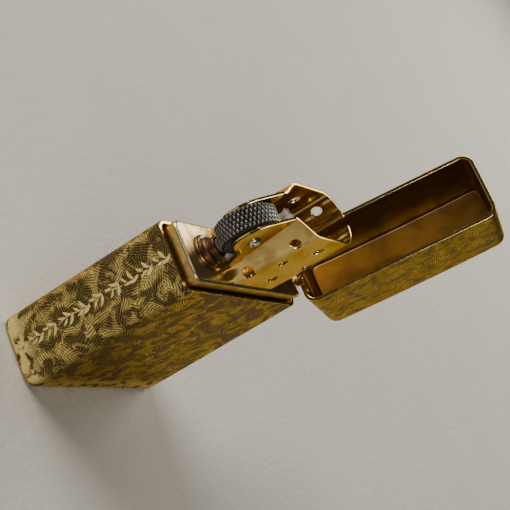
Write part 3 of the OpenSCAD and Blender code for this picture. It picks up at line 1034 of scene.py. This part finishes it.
inner_foot = insert_row(INSERT_T, INSERT_FOOT)
rows = [insert_row(0.1, INSERT_FOOT), insert_row(0, INSERT_FOOT + 0.1)]
rows += [insert_row(0, z) for z in np.linspace(INSERT_FOOT + 3, DECK - INSERT_EDGE, 12)]
for a in np.linspace(0, math.pi / 2, 7)[1:-1]:
    rows.append(insert_row(INSERT_EDGE * (1 - math.cos(a)), DECK - INSERT_EDGE * (1 - math.sin(a))))
above = insert_deck(INSERT_EDGE, DECK)
rows.append(above[0])
for low, high in zip(rows, rows[1:]):
    joined(low, high)
below = insert_deck(INSERT_T, DECK - INSERT_T)
joined(inner_foot, rows[0])
joined(inner_foot, below[0])
for low, high in zip(above[1:], below[1:]):
    joined(low, high)
insert_box = add_mesh(
    "insert_box", [tuple(c * MM for c in p) for p in points], faces, insert_brass)
smooth(outward(insert_box))
stands_for(insert_box, "insert_shell", "case")


# %% Plates bent from the deck
PLATE_GRAIN = 0.35
EAR_R, EAR_HOLE_R = 1.5, 0.52
TONGUE = (-1.2, 3.8)
TONGUE_T, TONGUE_UP = 0.28, 0.15
TONGUE_HOLE_X, TONGUE_HOLE_R = 1.3, 0.55


def plate(name, loop, holes, thick, place):
    """A flat plate with broken edges, put where place(u, v) says."""
    flat, triangles, rims = cut_sheet(loop, holes, PLATE_GRAIN)
    points, faces = thick_sheet(flat, triangles, rims, lambda u, v, side: place(u, v), 1, thick)
    return smooth(outward(add_mesh(name, [p * MM for p in points], faces, polished_brass)), 50)


foot = DECK - 0.2
arch = [(CAM.x + EAR_R * math.cos(a), CAM.z + EAR_R * math.sin(a)) for a in np.linspace(0, math.pi, 25)]
for label, y in (("near", -CAM_GAP_HALF - EAR_T / 2), ("far", CAM_GAP_HALF + EAR_T / 2)):
    ear = plate("cam_ear_" + label, [(CAM.x - EAR_R, foot), (CAM.x + EAR_R, foot)] + arch,
                [ring(CAM.x, CAM.z, EAR_HOLE_R, 24)], EAR_T, lambda u, v, y=y: (u, y, v))
    stands_for(ear, "insert_shell", "case")

tongue_y = WALL_MID - 0.1
tongue = plate("chimney_tongue", box_loop(*TONGUE, -tongue_y, tongue_y),
               [ring(TONGUE_HOLE_X, 0, TONGUE_HOLE_R, 24)], TONGUE_T,
               lambda u, v: (u, v, DECK + TONGUE_UP))
stands_for(tongue, "chimney", "case")

# %% [markdown]
# ## Turned pieces
# A rivet, a flange or a wheel is what a lathe makes: one profile spun round an axle. Rounding each
# corner of the profile first gives every edge its highlight, and a profile that closes on itself
# gives a piece with a bore and no seams to mend.

# %% Lathe
ROUND_PARTS = 3


def rounded(profile, radius):
    """A closed profile with its corners cut back by radius and curved in a few parts."""
    out = []
    for before, here, after in zip(profile[-1:] + profile[:-1], profile, profile[1:] + profile[:1]):
        a, b, c = Vector(before), Vector(here), Vector(after)
        room = min(radius, (a - b).length * 0.45, (c - b).length * 0.45)
        start, stop = b + (a - b).normalized() * room, b + (c - b).normalized() * room
        for k in range(ROUND_PARTS + 1):
            t = k / ROUND_PARTS
            out.append(tuple(start * (1 - t) ** 2 + b * (2 * t * (1 - t)) + stop * t * t))
    return out


def turned(name, profile, at, axis, finish, sides=96):
    """Spins a closed profile of (radius, height) points round an axis through a point."""
    turn = Vector((0, 0, 1)).rotation_difference(Vector(axis)).to_matrix().to_4x4()
    place = Matrix.Translation(at * MM) @ turn
    points = []
    for k in range(sides):
        a = math.tau * k / sides
        points += [place @ (Vector((r * math.cos(a), r * math.sin(a), h)) * MM) for r, h in profile]
    n = len(profile)
    faces = []
    for k in range(sides):
        m = (k + 1) % sides
        faces += [(k * n + i, m * n + i, m * n + (i + 1) % n, k * n + (i + 1) % n) for i in range(n)
                  if profile[i][0] > 1e-6 or profile[(i + 1) % n][0] > 1e-6]
    return smooth(outward(add_mesh(name, points, faces, finish)), 40)


# %% Wheel rivet
HEAD_R, HEAD_H = 1.15, 0.5
EAR_OUT = 2.6
HOLLOW_R, HOLLOW_DEEP = 0.42, 1.1
RIVET_TOP = EAR_OUT + HEAD_H
half_rivet = [
    (RIVET_R - 0.005, 0), (RIVET_R - 0.005, EAR_OUT), (HEAD_R, EAR_OUT),
    (HEAD_R - 0.06, EAR_OUT + HEAD_H * 0.55), (0.82, RIVET_TOP), (0.60, RIVET_TOP),
    (HOLLOW_R, EAR_OUT + HEAD_H * 0.55), (HOLLOW_R, RIVET_TOP - HOLLOW_DEEP), (0, RIVET_TOP - HOLLOW_DEEP),
]
rivet_profile = [(r, -h) for r, h in half_rivet[::-1]] + half_rivet[1:]
wheel_rivet = turned("axle_rivet", rounded(rivet_profile, 0.08), WHEEL, (0, 1, 0), steel, 64)
stands_for(wheel_rivet, "wheel_rivet", "case")


# %% Flint tube
HEATED_FROM = 36.4


def tube_paint(tree):
    place = object_mm(tree)
    x, y, z = tree.split(place)
    off = x - WHEEL.x
    radius = (off * off + y * y) ** 0.5
    rings = (radius * 14.0 + z * 9.0 + tree.noise(place, 1.2, 2) * 2.0).sin() * 0.5 + 0.5
    heat = (tree.noise(place, 0.55, 4) + (z - HEATED_FROM) * 0.16).step(0.35, 0.75)
    warm = tree.mix(rings, rgb(0.44, 0.24, 0.10), rgb(0.62, 0.40, 0.18))
    return {
        "Base Color": tree.mix(heat, warm, rgb(0.10, 0.052, 0.030)),
        "Roughness": 0.24 + heat * 0.22,
        "Normal": bump(tree, rings, 0.012),
    }


tube_brass = material("heat_browned_brass", tube_paint, metallic=1.0)
tube_profile = [
    (1.3, 2.45), (1.9, 2.45), (1.9, DECK), (3.3, DECK), (3.3, DECK + 0.35), (3.0, DECK + 0.5),
    (2.5, DECK + 0.5), (2.5, DECK + 1.1), (2.2, DECK + 1.4), (1.9, DECK + 1.5), (1.9, DECK + 2.4),
    (1.7, DECK + 2.6), (1.3, DECK + 2.6),
]
flint_tube = turned(
    "flint_guide_tube", rounded(tube_profile, 0.10), Vector((WHEEL.x, 0, 0)), (0, 0, 1), tube_brass)
stands_for(flint_tube, "flint_tube", "case")

# %% [markdown]
# ## Flint wheel
# The wheel is a blackened steel disc whose tread is cut by two crossing sets of slanted grooves. The
# grooves follow a rule, so a Geometry Nodes tree cuts them: each point of the tread moves inwards by
# the depth of the deeper of the two grooves there. The tree also stores how proud each point stands,
# and the finish wears the steel bright on the points and leaves the grooves black.

# %% Geometry tree
def geometry_tree(name, inputs):
    """A Geometry Nodes tree with named number inputs; returns it, its wires by name, and its geometry."""
    group = bpy.data.node_groups.new(name, "GeometryNodeTree")
    group.interface.new_socket("Geometry", in_out="INPUT", socket_type="NodeSocketGeometry")
    for label, value in inputs.items():
        kind = "NodeSocketInt" if isinstance(value, int) else "NodeSocketFloat"
        group.interface.new_socket(label, in_out="INPUT", socket_type=kind)
    group.interface.new_socket("Geometry", in_out="OUTPUT", socket_type="NodeSocketGeometry")
    tree = Tree(group)
    start = tree.nodes.new("NodeGroupInput")
    wires = {socket.name: Wire(tree, socket) for socket in start.outputs if socket.name}
    return group, tree, wires


def close_tree(tree, geometry, finish):
    """Ends a tree as every tree here ends: real geometry with its material."""
    real = tree.node("GeometryNodeRealizeInstances", {}, {"Geometry": geometry})
    painted = tree.node("GeometryNodeSetMaterial", {}, {"Geometry": real, "Material": finish})
    end = tree.nodes.new("NodeGroupOutput")
    tree.links.new(painted.socket, end.inputs[0])


def grown(made, group, inputs):
    """Runs the tree on an object and keeps the result as its plain mesh."""
    modifier = made.modifiers.new(group.name, "NODES")
    modifier.node_group = group
    for item in group.interface.items_tree:
        if item.item_type == "SOCKET" and item.in_out == "INPUT" and item.name in inputs:
            modifier[item.identifier] = inputs[item.name]
    settled = bpy.data.meshes.new_from_object(made.evaluated_get(bpy.context.evaluated_depsgraph_get()))
    name = made.name
    bpy.data.objects.remove(made)
    print(name, len(settled.polygons), "faces from", group.name)
    return linked(name, settled)


# %% Wheel finish
def wheel_paint(tree):
    place = object_mm(tree)
    proud = tree.node("ShaderNodeAttribute", {"attribute_name": "proud"}, {}, "Fac")
    soot = tree.noise(place, 0.6, 3)
    worn = proud.step(0.55, 1.0) * (soot.step(0.25, 0.6) * 0.6 + 0.4)
    return {
        "Base Color": tree.mix(worn, rgb(0.022, 0.020, 0.018), rgb(0.25, 0.235, 0.205)),
        "Roughness": 0.50 - worn * 0.18,
        "Metallic": 0.75 + worn * 0.25,
        "Normal": bump(tree, tree.noise(place, 5.0, 3), 0.012),
    }


wheel_steel = material("blackened_steel", wheel_paint)

# %% Knurl
WHEEL_R, WHEEL_HALF = 5.25, 1.95
knurl = {"Radius": WHEEL_R * MM, "Teeth": 44, "Pitch": 1.5 * MM, "Depth": 0.26 * MM}
group, tree, given = geometry_tree("knurl", knurl)
position = tree.node("GeometryNodeInputPosition", {}, {})
arm = tree.vector("SUBTRACT", position, tuple(WHEEL * MM))
x, y, z = tree.split(arm)
radius = (x * x + z * z) ** 0.5
turn = tree.math("ARCTAN2", z, x)
on_tread = (radius - given["Radius"] + 0.25 * MM).step(0.0, 0.18 * MM)
round_count = turn / math.tau * given["Teeth"]
grooves = []
for slant in (1.0, -1.0):
    phase = round_count + y / given["Pitch"] * slant
    groove = (phase - phase.floor() - 0.5).abs() * 2.0
    grooves.append(groove.step(0.45, 1.0) * (1.0 if slant > 0 else 0.75))
deep = grooves[0].max(grooves[1]) * on_tread
outwards = tree.join(x / radius, 0.0, z / radius)
cut = tree.node("GeometryNodeSetPosition", {}, {
    "Geometry": given["Geometry"],
    "Offset": tree.scaled(outwards, deep * given["Depth"] * -1.0),
})
stored = tree.node("GeometryNodeStoreNamedAttribute", {"data_type": "FLOAT", "domain": "POINT"}, {
    "Geometry": cut, "Name": "proud", "Value": (1 - deep) * on_tread,
})
close_tree(tree, stored, wheel_steel)

# %% Wheel
WHEEL_SIDES = 480
tread = [(WHEEL_R, h) for h in np.linspace(-WHEEL_HALF + 0.28, WHEEL_HALF - 0.28, 44)]
side_steps = [(WHEEL_R - 0.32, WHEEL_HALF), (3.6, WHEEL_HALF), (3.5, WHEEL_HALF - 0.12),
              (1.9, WHEEL_HALF - 0.12), (1.8, WHEEL_HALF), (0.75, WHEEL_HALF)]
wheel_profile = tread + side_steps + [(r, -h) for r, h in side_steps[::-1]]
blank = turned("knurled_wheel", wheel_profile, WHEEL, (0, 1, 0), wheel_steel, WHEEL_SIDES)
flint_wheel = smooth(grown(blank, group, knurl), 40)
stands_for(flint_wheel, "flint_wheel", "wheel")

# %% [markdown]
# ## Wick
# The wick is a cord braided from white cotton: eight strands wind one way round its core and eight
# the other, each over one and under the next. A Geometry Nodes tree repeats one strand, bends it round
# the wick's own line, and thickens it. Above the braid the ends have come loose, so a second tree
# stands short curved hairs there, with a fixed seed.

# %% Cotton finishes
SINGED_FROM = 51.6


def fibre_paint(light, shade, char_from=None):
    def paint(tree):
        place = object_mm(tree)
        thread = tree.streaks(place, (9.0, 9.0, 2.5), 1.0)
        colour = tree.mix(thread, shade, light)
        if char_from is not None:
            z = tree.split(place)[2]
            singe = (z + tree.noise(place, 1.3, 3) * 2.0).step(char_from, char_from + 1.6)
            colour = tree.mix(singe * 0.55, colour, rgb(0.30, 0.22, 0.14))
        return {"Base Color": colour, "Normal": bump(tree, thread, 0.03)}
    return paint


wick_cotton = material(
    "wick_cotton", fibre_paint(rgb(0.95, 0.94, 0.90), rgb(0.84, 0.82, 0.77), SINGED_FROM),
    roughness=0.9, sheen_weight=0.3, sheen_roughness=0.5)
wadding = material(
    "cotton_wadding", fibre_paint(rgb(0.93, 0.92, 0.89), rgb(0.80, 0.79, 0.75)),
    roughness=0.95, sheen_weight=0.4, sheen_roughness=0.5)
felt = material(
    "wool_felt", fibre_paint(rgb(0.84, 0.82, 0.76), rgb(0.62, 0.60, 0.55)),
    roughness=0.95, sheen_weight=0.3, sheen_roughness=0.5)

# %% Wick line
WICK = [
    (WICK_X, 0, 6), (WICK_X, 0, 20), (WICK_X, 0, 34), (WICK_X, 0, 38),
    (WICK_X, 0.05, 41), (-3.5, 0.15, 44), (-3.6, 0.25, 46.5), (-3.65, 0.35, 48.4),
]


def path_object(name, points):
    data = bpy.data.curves.new(name, "CURVE")
    data.dimensions = "3D"
    spline = data.splines.new("POLY")
    spline.points.add(len(points) - 1)
    for spot, point in zip(spline.points, points):
        spot.co = (*(c * MM for c in point), 1)
    return linked(name, data)


def copies(tree, curve, amount):
    """Copies of a curve, and the number that each copy has."""
    many = tree.nodes.new("GeometryNodeDuplicateElements")
    many.domain = "SPLINE"
    tree.links.new(curve.socket, many.inputs["Geometry"])
    tree.links.new(amount.socket, many.inputs["Amount"])
    return Wire(tree, many.outputs["Geometry"]), Wire(tree, many.outputs["Duplicate Index"])


def thread_mesh(tree, curves, radius, sides):
    """Round closed threads along curves."""
    section = tree.node("GeometryNodeCurvePrimitiveCircle", {}, {"Resolution": sides, "Radius": radius})
    return tree.node("GeometryNodeCurveToMesh", {}, {
        "Curve": curves, "Profile Curve": section, "Fill Caps": True,
    })


# %% Braid
braid = {"Strands": 16, "Turns": 9.0, "Radius": 1.15 * MM, "Weave": 0.10 * MM, "Thread": 0.30 * MM}
group, tree, given = geometry_tree("braid", braid)
line = tree.node("GeometryNodeResampleCurve", {}, {"Curve": given["Geometry"], "Count": 260})
lines, strand = copies(tree, line, given["Strands"])
way = (tree.math("MODULO", strand, 2.0) * 2.0) - 1.0
share_along = tree.node("GeometryNodeSplineParameter", {}, {}, "Factor")
start_turn = (strand / 2.0).floor() / (given["Strands"] / 2.0)
angle = (share_along * given["Turns"] * way + start_turn) * math.tau
over = (share_along * given["Turns"] * math.tau * (given["Strands"] / 2.0)).sin() * way
reach = given["Radius"] + over * given["Weave"]
place = tree.join(angle.cos() * reach, angle.sin() * reach, 0.0)
wound = tree.node("GeometryNodeSetPosition", {}, {"Geometry": lines, "Offset": place})
close_tree(tree, thread_mesh(tree, wound, given["Thread"], 6), wick_cotton)
braided = grown(path_object("wick_braid", WICK), group, braid)

# %% Core and loose hairs
hairs = {"Hairs": 320, "Spread": 1.25 * MM, "Length": 1.5 * MM, "Hair": 0.045 * MM}
group, tree, given = geometry_tree("loose_hairs", hairs)
line = tree.node("GeometryNodeCurvePrimitiveLine", {}, {"End": (0, 0, MM)})
line = tree.node("GeometryNodeResampleCurve", {}, {"Curve": line, "Count": 5})
lines, hair = copies(tree, line, given["Hairs"])


def chance(seed):
    """A number from 0 to 1 that each hair keeps along its whole length."""
    return tree.random(hair * 1.37 + seed)


height = tree.split(tree.node("GeometryNodeInputPosition", {}, {}))[2] / MM
turn = chance(0.11) * math.tau
out_at = chance(5.3) ** 0.5 * given["Spread"]
lean = (chance(9.7) - 0.15) * 0.7 * MM
bend = (chance(13.9) - 0.5) * 1.2 * MM
tall = given["Length"] * (0.45 + chance(21.1) * 0.55)
side_way = turn + math.pi / 2
root = tree.join(turn.cos() * out_at, turn.sin() * out_at, 0.0)
flow = tree.join(
    turn.cos() * lean * height + side_way.cos() * bend * height * height,
    turn.sin() * lean * height + side_way.sin() * bend * height * height,
    height * tall,
)
top = tuple(c * MM for c in WICK[-1])
spot = tree.vector("ADD", tree.vector("ADD", root, flow), (top[0], top[1], top[2] - 0.35 * MM))
stood = tree.node("GeometryNodeSetPosition", {}, {"Geometry": lines, "Position": spot})
close_tree(tree, thread_mesh(tree, stood, given["Hair"], 3), wick_cotton)
loose = grown(add_mesh("wick_hairs", [(0, 0, 0)], []), group, hairs)


def tube(points, radius, sides):
    """Rings lying flat round each point of a line, with closed ends."""
    spots, faces = [], []
    for x, y, z in points:
        spots += [Vector((*spot, z)) * MM for spot in ring(x, y, radius, sides)]
    for first in range(0, (len(points) - 1) * sides, sides):
        for k in range(sides):
            m = (k + 1) % sides
            faces.append((first + k, first + m, first + sides + m, first + sides + k))
    faces += [tuple(range(sides))[::-1], tuple(range(len(spots) - sides, len(spots)))]
    return spots, faces


CORE_R = 1.12
core = outward(add_mesh("wick_core", *tube(WICK, CORE_R, 24), wick_cotton))
for made in (braided, loose, core):
    smooth(made, 60)
    stands_for(made, "wick", "case")

# %% [markdown]
# ## Packing and felt
# Inside the insert, wads of cotton hold the fuel and a felt pad closes the bottom. Both fill the
# space their solids hold, so each starts from its solid: a voxel remesh turns it into an even net,
# smoothing takes the machined look off its edges, and noise pushes its skin inwards only, which
# keeps it clear of its neighbours. The flock is stiff and packed tight, so it needs no cloth.

# %% Stuffed copies
def stuffed(node, name, finish, voxel, dent):
    """A soft piece grown from a node's solid, dented inwards by up to dent millimetres."""
    blank = outward(linked(name, solid_mesh(node)))
    remesh = blank.modifiers.new("net", "REMESH")
    remesh.mode = "VOXEL"
    remesh.voxel_size = voxel * MM
    net = bpy.data.meshes.new_from_object(blank.evaluated_get(bpy.context.evaluated_depsgraph_get()))
    bpy.data.objects.remove(blank)
    bm = bmesh.new()
    bm.from_mesh(net)
    for _ in range(4):
        bmesh.ops.smooth_vert(
            bm, verts=bm.verts, factor=0.5, use_axis_x=True, use_axis_y=True, use_axis_z=True)
    bm.normal_update()
    for vertex in bm.verts:
        depth = 0.5 + 0.5 * noise.fractal(vertex.co * 700, 1.0, 2.0, 3)
        vertex.co -= vertex.normal * (max(0.0, min(1.0, depth)) * dent * MM)
    bm.to_mesh(net)
    bm.free()
    net.materials.clear()
    net.materials.append(finish)
    made = smooth(linked(name, net), 80)
    stands_for(made, node, "case")
    print(name, len(net.polygons), "faces")


stuffed("cotton_packing", "cotton_wads", wadding, 0.45, 0.35)
stuffed("felt_pad", "felt_bottom", felt, 0.30, 0.12)


# %% Finish
visual_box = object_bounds()
for corner, (cad, seen) in zip(("low", "high"), zip(cad_box, visual_box)):
    print(corner, [round(c * 1000, 2) for c in cad], [round(c * 1000, 2) for c in seen])
